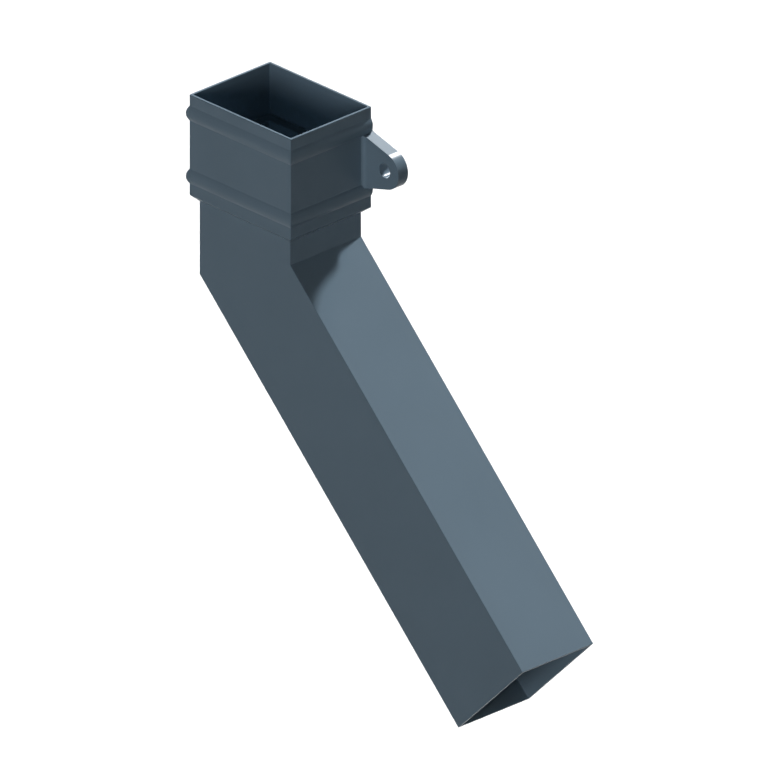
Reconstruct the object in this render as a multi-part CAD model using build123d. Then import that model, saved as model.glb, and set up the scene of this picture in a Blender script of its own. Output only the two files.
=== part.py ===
from build123d import *
import math
import os

# Long tail elbow for a rectangular downpipe, cast in one piece.
# The socket takes the pipe above, two ears hold the elbow to the wall, and the long tail leads the
# water aside at the bend's angle.
# All sizes are in millimetres. The origin is on the wall face, midway between the two fixing holes.
# +Y points into the wall, +Z points up, and the tail runs down towards +X.

# Pipe section, shared by the neck and the tail
pipe_width = 102.0
pipe_depth = 76.5
pipe_wall = 2.0

# Socket at the top, with the room that it leaves round the pipe above, and the ring that stops the pipe
# halfway down
socket_side_gap = 4.0
socket_face_gap = 3.1
socket_wall = 2.0
socket_height = 86.4
socket_inset = 43.2
stop_width = 9.5
stop_height = 8.0
taper_height = 5.0

# Bend and tail, measured along the centreline
neck_length = 41.6
bend_angle = 45.0
tail_length = 390.4

# Two raised beads round the socket's front and sides
bead_width = 12.5
bead_projection = 2.1
bead_root_radius = 0.8
upper_bead_drop = 16.1
lower_bead_rise = 16.2

# Fixing ears, one on each side of the socket
ear_reach = 23.7
ear_drop = 44.5
ear_root_height = 45.6
ear_tip_radius = 15.5
ear_thickness = 10.7
ear_setback = 2.25
ear_root_radius = 3.5
ear_flank_radius = 0.6
ear_hole_diameter = 12.0

# Rounding of the casting's edges, and the narrow chamfer that breaks the edges of its two open ends
outer_edge_radius = 0.4
inner_edge_radius = 1.0
ear_edge_radius = 0.3
lip_chamfer = 0.2

# How far a cut runs past the face that it opens, how far the ears' roots bite into the socket's side,
# so that their curves meet it at a clear angle, and how near a point counts as on a plane
overrun = 5.0
root_bite = 0.05
touch = 0.01

# Sections that follow from the sizes above
bore_width = pipe_width - 2 * pipe_wall
bore_depth = pipe_depth - 2 * pipe_wall
socket_width = pipe_width + 2 * socket_side_gap
socket_depth = pipe_depth + 2 * socket_face_gap
collar_width = socket_width + 2 * socket_wall
collar_depth = socket_depth + 2 * socket_wall

# Places that follow from the sizes above
rim_z = ear_drop
stop_top_z = rim_z - socket_inset
stop_foot_z = stop_top_z - stop_height
collar_foot_z = rim_z - socket_height
neck_top_z = collar_foot_z - taper_height
bend_z = neck_top_z - neck_length
pipe_y = -(collar_depth / 2 + ear_setback)
side_x = collar_width / 2
ear_hole_x = side_x + ear_reach
ear_foot_x = side_x - root_bite
ear_sunk_x = side_x - socket_wall / 2

lean = math.radians(bend_angle)
tail_direction = Vector(math.sin(lean), 0, -math.cos(lean))
bend_centre = Vector(0, pipe_y, bend_z)


def level(z):
    """The level plane at height z, centred on the pipe."""
    return Plane((0, pipe_y, z))


def mitred_tube(width, depth, radius, top_z, length):
    """A solid of one section that runs down from top_z and turns at a single mitre into the tail."""
    path = Polyline((0, pipe_y, top_z), bend_centre, bend_centre + tail_direction * length)
    section = level(top_z) * RectangleRounded(width, depth, radius)
    return sweep(section, path=path, transition=Transition.RIGHT)


def funnel(upper_size, lower_size, radius, top_z, foot_z):
    """The sloping stretch between the socket's section and the pipe's section."""
    upper = level(top_z) * RectangleRounded(*upper_size, radius)
    lower = level(foot_z) * RectangleRounded(*lower_size, radius)
    return loft([upper, lower], ruled=True)


def collar_outline(width, beaded_sides):
    """The socket seen square on: a rectangle whose beaded sides (1 right, -1 left) carry two crowns."""
    half = width / 2
    outline = Pos(0, (rim_z + collar_foot_z) / 2) * Rectangle(width, socket_height)
    crown_radius = (bead_width**2 / 4 + bead_projection**2) / (2 * bead_projection)
    for side in beaded_sides:
        for bead_z in (rim_z - upper_bead_drop, collar_foot_z + lower_bead_rise):
            crown = Pos(side * (half + bead_projection - crown_radius), bead_z) * Circle(crown_radius)
            window = Pos(side * (half + bead_projection / 2), bead_z) * Rectangle(
                2 * bead_projection, bead_width
            )
            outline += crown & window
    roots = [
        corner
        for corner in outline.vertices()
        if abs(abs(corner.X) - half) < touch and collar_foot_z + touch < corner.Y < rim_z - touch
    ]
    return fillet(roots, bead_root_radius)


def upright_edges(solid):
    """The four upright corners of the socket, with the ridges where the beads turn them."""
    return [
        edge
        for edge in solid.edges()
        if edge.bounding_box().size.Z > touch
        and abs(edge.center().X) > side_x - touch
        and abs(edge.center().Y - pipe_y) > collar_depth / 2 - touch
    ]


def collar():
    """The socket's outside: the front outline carried back, where it meets the side outline."""
    front_plane = Plane((0, pipe_y, 0), x_dir=(1, 0, 0), z_dir=(0, -1, 0))
    side_plane = Plane((0, pipe_y, 0), x_dir=(0, -1, 0), z_dir=(-1, 0, 0))
    front_bar = extrude(front_plane * collar_outline(collar_width, (1, -1)), collar_depth, both=True)
    side_bar = extrude(side_plane * collar_outline(collar_depth, (1,)), collar_width, both=True)
    solid = front_bar & side_bar
    return fillet(upright_edges(solid), outer_edge_radius)


def ear_outline():
    """The ear seen from the front: a wide root that narrows in straight lines to a round tip."""
    half_root = ear_root_height / 2
    reach = ear_hole_x - ear_foot_x
    slope = math.atan2(half_root, reach) - math.asin(ear_tip_radius / math.hypot(reach, half_root))
    tip_x = ear_hole_x + ear_tip_radius * math.sin(slope)
    tip_z = ear_tip_radius * math.cos(slope)
    sides = Polyline((tip_x, -tip_z), (ear_foot_x, -half_root), (ear_foot_x, half_root), (tip_x, tip_z))
    tip = ThreePointArc((tip_x, tip_z), (ear_hole_x + ear_tip_radius, 0), (tip_x, -tip_z))
    foot_width = ear_foot_x - ear_sunk_x
    foot_height = ear_root_height + 2 * ear_flank_radius
    foot = Pos(ear_foot_x - foot_width / 2, 0) * Rectangle(foot_width, foot_height)
    outline = make_face([sides, tip]) + foot
    roots = [
        corner
        for corner in outline.vertices()
        if abs(corner.X - ear_foot_x) < touch and abs(abs(corner.Y) - half_root) < touch
    ]
    return fillet(roots, ear_flank_radius)


def ear_plan():
    """The ear seen from above: a plate with its back on the wall, widened at the front of its root."""
    end_x = ear_hole_x + ear_tip_radius
    foot_depth = ear_thickness + 2 * ear_root_radius
    plate = Pos((ear_sunk_x + end_x) / 2, -ear_thickness / 2) * Rectangle(end_x - ear_sunk_x, ear_thickness)
    foot_width = ear_foot_x - ear_sunk_x
    foot = Pos(ear_foot_x - foot_width / 2, -foot_depth / 2) * Rectangle(foot_width, foot_depth)
    plan = plate + foot
    roots = [
        corner
        for corner in plan.vertices()
        if abs(corner.X - ear_foot_x) < touch and abs(corner.Y + ear_thickness) < touch
    ]
    return fillet(roots, ear_root_radius)


def ear_rims(solid):
    """The edges round the ear's front and back faces and its hole, and the ridges of its root."""
    rims = []
    for edge in solid.edges():
        box = edge.bounding_box()
        on_front = max(abs(box.min.Y + ear_thickness), abs(box.max.Y + ear_thickness)) < touch
        on_back = max(abs(box.min.Y), abs(box.max.Y)) < touch
        upright = box.size.X < touch
        clear_of_socket = box.min.X > ear_foot_x - touch
        ridge = edge.geom_type == GeomType.ELLIPSE
        if ridge or ((on_front or on_back) and clear_of_socket and not upright):
            rims.append(edge)
    return rims


def ear():
    """The ear on the tail's side: its outline carried back, where it meets its plan, with the hole."""
    depth = ear_thickness + 2 * ear_root_radius
    height = ear_root_height + 2 * ear_flank_radius
    solid = extrude(Plane.XZ * ear_outline(), depth) & extrude(ear_plan(), height, both=True)
    hole = Plane.XZ * Pos(ear_hole_x, 0) * Circle(ear_hole_diameter / 2)
    solid -= extrude(hole, depth, both=True)
    return fillet(ear_rims(solid), ear_edge_radius)


def waterway():
    """Everything that is open inside: the socket, the stop ring's throat and the bore down to the tail's end."""
    mouth = RectangleRounded(socket_width, socket_depth, inner_edge_radius)
    socket = extrude(level(stop_top_z) * mouth, rim_z + overrun - stop_top_z)
    ring_hole = RectangleRounded(socket_width - 2 * stop_width, socket_depth - 2 * stop_width, inner_edge_radius)
    throat = extrude(level(stop_foot_z - overrun) * ring_hole, stop_height + 2 * overrun)
    bore = mitred_tube(bore_width, bore_depth, inner_edge_radius, stop_foot_z, tail_length + overrun)
    return socket + throat + bore


def elbow():
    """The whole casting, with a narrow chamfer on the lips at the socket's rim and the tail's end."""
    shoulder = funnel(
        (collar_width, collar_depth), (pipe_width, pipe_depth), outer_edge_radius, collar_foot_z, neck_top_z
    )
    pipe = mitred_tube(pipe_width, pipe_depth, outer_edge_radius, neck_top_z, tail_length)
    right_ear = ear()
    casting = collar() + shoulder + pipe + right_ear + mirror(right_ear, Plane.YZ) - waterway()
    rim_lip = casting.faces().sort_by(Axis.Z)[-1]
    tail_lip = casting.faces().sort_by(Axis((0, 0, 0), tail_direction))[-1]
    return chamfer(rim_lip.edges() + tail_lip.edges(), lip_chamfer)


os.makedirs("parts", exist_ok=True)
export_step(elbow(), "parts/elbow.step")
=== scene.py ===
import math

import bpy
from mathutils import Matrix, Vector


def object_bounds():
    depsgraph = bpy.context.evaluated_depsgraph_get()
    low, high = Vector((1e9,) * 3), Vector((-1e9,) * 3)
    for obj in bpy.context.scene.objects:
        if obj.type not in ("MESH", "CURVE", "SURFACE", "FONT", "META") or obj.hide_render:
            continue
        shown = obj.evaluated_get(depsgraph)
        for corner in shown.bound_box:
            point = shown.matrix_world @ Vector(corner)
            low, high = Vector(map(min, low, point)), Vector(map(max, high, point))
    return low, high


bl_info = {
    "name": "Long tail downpipe elbow",
    "version": (1, 0, 0),
    "blender": (4, 5, 0),
    "location": "3D View > Sidebar > Elbow",
    "description": "Coats a cast downpipe elbow in slate-grey paint and sets it on a plain stage",
    "category": "Object",
}

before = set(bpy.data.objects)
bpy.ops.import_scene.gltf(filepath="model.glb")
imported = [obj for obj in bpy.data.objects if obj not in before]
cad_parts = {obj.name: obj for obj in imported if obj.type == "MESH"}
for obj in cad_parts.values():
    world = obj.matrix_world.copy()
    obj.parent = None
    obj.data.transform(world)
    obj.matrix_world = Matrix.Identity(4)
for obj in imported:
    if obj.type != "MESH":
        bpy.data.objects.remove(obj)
cad_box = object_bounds()

CASTING_NODE = "elbow"

# The paint's slow drifts: how wide their features are, in metres, how fine their detail is, and the
# noise values between which they run from one end to the other
TONE_DRIFT_SIZE = 0.09
TONE_DRIFT_DETAIL = 3.0
GLOSS_DRIFT_SIZE = 0.03
GLOSS_DRIFT_DETAIL = 4.0
PEEL_DETAIL = 1.0
DRIFT_LOW = 0.3
DRIFT_HIGH = 0.7

# The stage's colours, and the strengths at which the floor and the surroundings show white
WHITE = (1.0, 1.0, 1.0, 1.0)
BLACK = (0.0, 0.0, 0.0, 1.0)
FLOOR_COLOUR = (0.8, 0.8, 0.8, 1.0)
FLOOR_ROUGHNESS = 0.9
FLOOR_GLOW = 0.15
WHITE_STRENGTH = 1.0

# Each lamp's name, the direction that it shines from, its width in degrees, and whether it lights
# surfaces directly. The glint doesn't: it shows only as a reflection.
LAMPS = (
    ("key", (-0.12, 0.742, 0.66), 6, True),
    ("fill", (0.4, -0.91, 0.05), 30, True),
    ("back", (-1.0, 0.3, 0.1), 20, True),
    ("glint", (-0.119, 0.625, 0.772), 6, False),
)

# How far the lamps and the camera stand off, and how far the camera sees, in metres
LAMP_DISTANCE = 2
CAMERA_DISTANCE = 3
CAMERA_RANGE = 100


def box_corners(box):
    low, high = box
    return Vector(low), Vector(high)


class PaintSettings(bpy.types.PropertyGroup):
    """The coating on the casting."""

    colour: bpy.props.FloatVectorProperty(
        name="Colour",
        description="Colour of the coating",
        default=(0.12, 0.172, 0.218),
        min=0.0,
        max=1.0,
        subtype="COLOR",
    )
    colour_spread: bpy.props.FloatProperty(
        name="Colour spread",
        description="How far the coating's tone drifts from place to place, as a share of its colour",
        default=0.03,
        min=0.0,
        max=0.5,
        subtype="FACTOR",
    )
    roughness: bpy.props.FloatProperty(
        name="Roughness",
        description="Mean roughness of the coating",
        default=0.30,
        min=0.0,
        max=1.0,
        subtype="FACTOR",
    )
    roughness_spread: bpy.props.FloatProperty(
        name="Roughness spread",
        description="How far the roughness drifts to each side of its mean",
        default=0.02,
        min=0.0,
        max=0.3,
        subtype="FACTOR",
    )
    specular_level: bpy.props.FloatProperty(
        name="Specular level",
        description="Strength of the coating's reflections, low because they mirror white surroundings",
        default=0.06,
        min=0.0,
        max=1.0,
        subtype="FACTOR",
    )
    peel_size: bpy.props.FloatProperty(
        name="Peel size",
        description="Width of one dimple of the orange peel that the coating dries with",
        default=0.0016,
        min=0.0002,
        unit="LENGTH",
    )
    peel_height: bpy.props.FloatProperty(
        name="Peel height",
        description="Height of the orange peel",
        default=0.000004,
        min=0.0,
        unit="LENGTH",
    )


class StageSettings(bpy.types.PropertyGroup):
    """The floor, the light and the camera."""

    floor_drop: bpy.props.FloatProperty(
        name="Floor drop",
        description="How far the floor lies below the part's lowest point",
        default=0.35,
        min=0.0,
        unit="LENGTH",
    )
    floor_size: bpy.props.FloatProperty(
        name="Floor size",
        description="Length of the floor's side",
        default=16.0,
        min=1.0,
        unit="LENGTH",
    )
    view_azimuth: bpy.props.FloatProperty(
        name="View azimuth",
        description="Turn of the camera about the part: at zero it looks along +Y",
        default=math.radians(46.25),
        unit="ROTATION",
    )
    view_elevation: bpy.props.FloatProperty(
        name="View elevation",
        description="How steeply the camera looks down",
        default=math.radians(25.28),
        unit="ROTATION",
    )
    view_width: bpy.props.FloatProperty(
        name="View width",
        description="Width of what the camera sees",
        default=0.5972,
        min=0.01,
        unit="LENGTH",
    )
    view_right: bpy.props.FloatProperty(
        name="View right",
        description="How far the picture's middle lies to the right of the part's middle",
        default=0.00593,
        unit="LENGTH",
    )
    view_up: bpy.props.FloatProperty(
        name="View up",
        description="How far the picture's middle lies above the part's middle",
        default=0.01399,
        unit="LENGTH",
    )
    key_strength: bpy.props.FloatProperty(
        name="Key strength",
        description="Strength of the soft key light behind and above the part",
        default=6.23,
        min=0.0,
    )
    fill_strength: bpy.props.FloatProperty(
        name="Fill strength",
        description="Strength of the fill light in front of the part",
        default=1.97,
        min=0.0,
    )
    back_strength: bpy.props.FloatProperty(
        name="Back strength",
        description="Strength of the light on the part's far side",
        default=1.0,
        min=0.0,
    )
    glint_strength: bpy.props.FloatProperty(
        name="Glint strength",
        description="Strength of the lamp that shows only as a reflection",
        default=14.5,
        min=0.0,
    )
    ambient: bpy.props.FloatProperty(
        name="Ambient",
        description="Strength of the light that comes from all round",
        default=0.01,
        min=0.0,
    )


def new_material(name):
    """A material with a Principled surface, and its nodes and links."""
    material = bpy.data.materials.new(name)
    material.use_nodes = True
    tree = material.node_tree
    return material, tree.nodes, tree.links, tree.nodes["Principled BSDF"]


def noise(nodes, links, place, size, detail, name):
    """Noise whose features are about as wide as size, in metres, on the object's own coordinates."""
    texture = nodes.new("ShaderNodeTexNoise")
    texture.name = texture.label = name
    texture.inputs["Scale"].default_value = 1.0 / size
    texture.inputs["Detail"].default_value = detail
    links.new(place.outputs["Object"], texture.inputs["Vector"])
    return texture.outputs["Fac"]


def coating(settings):
    """Semi-gloss paint on a cast surface: its tone and gloss drift a little, with a fine orange peel."""
    material, nodes, links, surface = new_material("slate_paint")
    place = nodes.new("ShaderNodeTexCoord")

    drift = noise(nodes, links, place, TONE_DRIFT_SIZE, TONE_DRIFT_DETAIL, "tone drift")
    tone = nodes.new("ShaderNodeValToRGB")
    tone.color_ramp.elements[0].position = DRIFT_LOW
    tone.color_ramp.elements[1].position = DRIFT_HIGH
    for element, side in zip(tone.color_ramp.elements, (-1, 1)):
        share = 1 + side * settings.colour_spread
        element.color = [channel * share for channel in settings.colour] + [1.0]
    links.new(drift, tone.inputs["Fac"])
    links.new(tone.outputs["Color"], surface.inputs["Base Color"])

    gloss = nodes.new("ShaderNodeMapRange")
    gloss.inputs["From Min"].default_value = DRIFT_LOW
    gloss.inputs["From Max"].default_value = DRIFT_HIGH
    gloss.inputs["To Min"].default_value = settings.roughness - settings.roughness_spread
    gloss.inputs["To Max"].default_value = settings.roughness + settings.roughness_spread
    drift = noise(nodes, links, place, GLOSS_DRIFT_SIZE, GLOSS_DRIFT_DETAIL, "gloss drift")
    links.new(drift, gloss.inputs["Value"])
    links.new(gloss.outputs["Result"], surface.inputs["Roughness"])

    surface.inputs["Specular IOR Level"].default_value = settings.specular_level

    bump = nodes.new("ShaderNodeBump")
    bump.inputs["Distance"].default_value = settings.peel_height
    peel = noise(nodes, links, place, settings.peel_size, PEEL_DETAIL, "orange peel")
    links.new(peel, bump.inputs["Height"])
    links.new(bump.outputs["Normal"], surface.inputs["Normal"])
    return material


def shows_background(nodes, links):
    """One where a ray comes from the camera, a reflection or a transparent surface, and zero elsewhere."""
    path = nodes.new("ShaderNodeLightPath")
    total = path.outputs["Is Camera Ray"]
    for ray in ("Is Glossy Ray", "Is Transmission Ray"):
        add = nodes.new("ShaderNodeMath")
        add.operation = "MAXIMUM"
        links.new(total, add.inputs[0])
        links.new(path.outputs[ray], add.inputs[1])
        total = add.outputs["Value"]
    return total


class ELBOW_OT_coat_casting(bpy.types.Operator):
    """Give the casting its slate-grey coating"""

    bl_idname = "elbow.coat_casting"
    bl_label = "Coat the casting"

    def execute(self, context):
        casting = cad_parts[CASTING_NODE]
        paint = coating(context.scene.elbow_paint)
        for slot in casting.material_slots:
            slot.material = paint
        return {"FINISHED"}


def floor(settings, part_low):
    """A pale square below the part. Its colour shows white, and it keeps the part's shadow."""
    half = settings.floor_size / 2
    z = part_low.z - settings.floor_drop
    corners = [(-half, -half, z), (half, -half, z), (half, half, z), (-half, half, z)]
    mesh = bpy.data.meshes.new("floor")
    mesh.from_pydata(corners, [], [(0, 1, 2, 3)])
    ground = bpy.data.objects.new("floor", mesh)
    bpy.context.scene.collection.objects.link(ground)

    material, nodes, links, surface = new_material("pale_floor")
    surface.inputs["Base Color"].default_value = FLOOR_COLOUR
    surface.inputs["Roughness"].default_value = FLOOR_ROUGHNESS
    surface.inputs["Specular IOR Level"].default_value = 0.0
    glow = nodes.new("ShaderNodeEmission")
    glow.inputs["Strength"].default_value = FLOOR_GLOW
    bounce = nodes.new("ShaderNodeBsdfDiffuse")
    bounce.inputs["Color"].default_value = BLACK
    both = nodes.new("ShaderNodeAddShader")
    choose = nodes.new("ShaderNodeMixShader")
    links.new(shows_background(nodes, links), choose.inputs["Fac"])
    links.new(surface.outputs["BSDF"], both.inputs[0])
    links.new(glow.outputs["Emission"], both.inputs[1])
    links.new(bounce.outputs["BSDF"], choose.inputs[1])
    links.new(both.outputs["Shader"], choose.inputs[2])
    links.new(choose.outputs["Shader"], nodes["Material Output"].inputs["Surface"])
    mesh.materials.append(material)


def surroundings(settings):
    """Soft light from all round, which shows as plain white to the camera and in reflections."""
    world = bpy.data.worlds.new("studio")
    bpy.context.scene.world = world
    world.use_nodes = True
    nodes, links = world.node_tree.nodes, world.node_tree.links
    soft = nodes["Background"]
    soft.inputs["Color"].default_value = WHITE
    soft.inputs["Strength"].default_value = settings.ambient
    white = nodes.new("ShaderNodeBackground")
    white.inputs["Color"].default_value = WHITE
    white.inputs["Strength"].default_value = WHITE_STRENGTH
    choose = nodes.new("ShaderNodeMixShader")
    links.new(shows_background(nodes, links), choose.inputs["Fac"])
    links.new(soft.outputs["Background"], choose.inputs[1])
    links.new(white.outputs["Background"], choose.inputs[2])
    links.new(choose.outputs["Shader"], nodes["World Output"].inputs["Surface"])


def lamp(name, towards, strength, spread, lights_directly):
    """A distant light that shines from the direction towards, as wide as the angle spread."""
    data = bpy.data.lights.new(name, "SUN")
    data.energy = strength
    data.angle = spread
    lamp_object = bpy.data.objects.new(name, data)
    lamp_object.rotation_euler = Vector(towards).to_track_quat("Z", "Y").to_euler()
    lamp_object.location = Vector(towards).normalized() * LAMP_DISTANCE
    lamp_object.visible_diffuse = lights_directly
    bpy.context.scene.collection.objects.link(lamp_object)


def camera(settings, part_low, part_high):
    """A camera with no perspective that looks at the part's middle, from the photograph's side."""
    azimuth, elevation = settings.view_azimuth, settings.view_elevation
    right = Vector((math.cos(azimuth), math.sin(azimuth), 0))
    back = Vector(
        (
            math.sin(azimuth) * math.cos(elevation),
            -math.cos(azimuth) * math.cos(elevation),
            math.sin(elevation),
        )
    )
    up = back.cross(right)
    aim = (part_low + part_high) / 2 + right * settings.view_right + up * settings.view_up
    data = bpy.data.cameras.new("camera")
    data.type = "ORTHO"
    data.ortho_scale = settings.view_width
    data.clip_end = CAMERA_RANGE
    eye = bpy.data.objects.new("camera", data)
    turn = Matrix((right, up, back)).transposed().to_4x4()
    eye.matrix_world = Matrix.Translation(aim + back * CAMERA_DISTANCE) @ turn
    bpy.context.scene.collection.objects.link(eye)
    bpy.context.scene.camera = eye


class ELBOW_OT_set_stage(bpy.types.Operator):
    """Set the floor, the light and the camera"""

    bl_idname = "elbow.set_stage"
    bl_label = "Set the stage"

    def execute(self, context):
        settings = context.scene.elbow_stage
        part_low, part_high = box_corners(cad_box)
        floor(settings, part_low)
        surroundings(settings)
        for name, towards, degrees, lights_directly in LAMPS:
            strength = getattr(settings, name + "_strength")
            lamp(name, towards, strength, math.radians(degrees), lights_directly)
        camera(settings, part_low, part_high)
        context.scene.view_settings.view_transform = "Standard"
        return {"FINISHED"}


class ELBOW_PT_panel(bpy.types.Panel):
    """The elbow's settings and steps"""

    bl_idname = "ELBOW_PT_panel"
    bl_label = "Downpipe elbow"
    bl_space_type = "VIEW_3D"
    bl_region_type = "UI"
    bl_category = "Elbow"

    def draw(self, context):
        for title, settings, operator in (
            ("Paint", context.scene.elbow_paint, ELBOW_OT_coat_casting),
            ("Stage", context.scene.elbow_stage, ELBOW_OT_set_stage),
        ):
            box = self.layout.box()
            box.label(text=title)
            for name in settings.__annotations__:
                box.prop(settings, name)
            box.operator(operator.bl_idname)


CLASSES = (PaintSettings, StageSettings, ELBOW_OT_coat_casting, ELBOW_OT_set_stage, ELBOW_PT_panel)


def register():
    for item in CLASSES:
        bpy.utils.register_class(item)
    bpy.types.Scene.elbow_paint = bpy.props.PointerProperty(type=PaintSettings)
    bpy.types.Scene.elbow_stage = bpy.props.PointerProperty(type=StageSettings)


def unregister():
    del bpy.types.Scene.elbow_stage
    del bpy.types.Scene.elbow_paint
    for item in reversed(CLASSES):
        bpy.utils.unregister_class(item)


def main():
    register()
    bpy.ops.elbow.coat_casting()
    bpy.ops.elbow.set_stage()


if __name__ == "__main__":
    main()
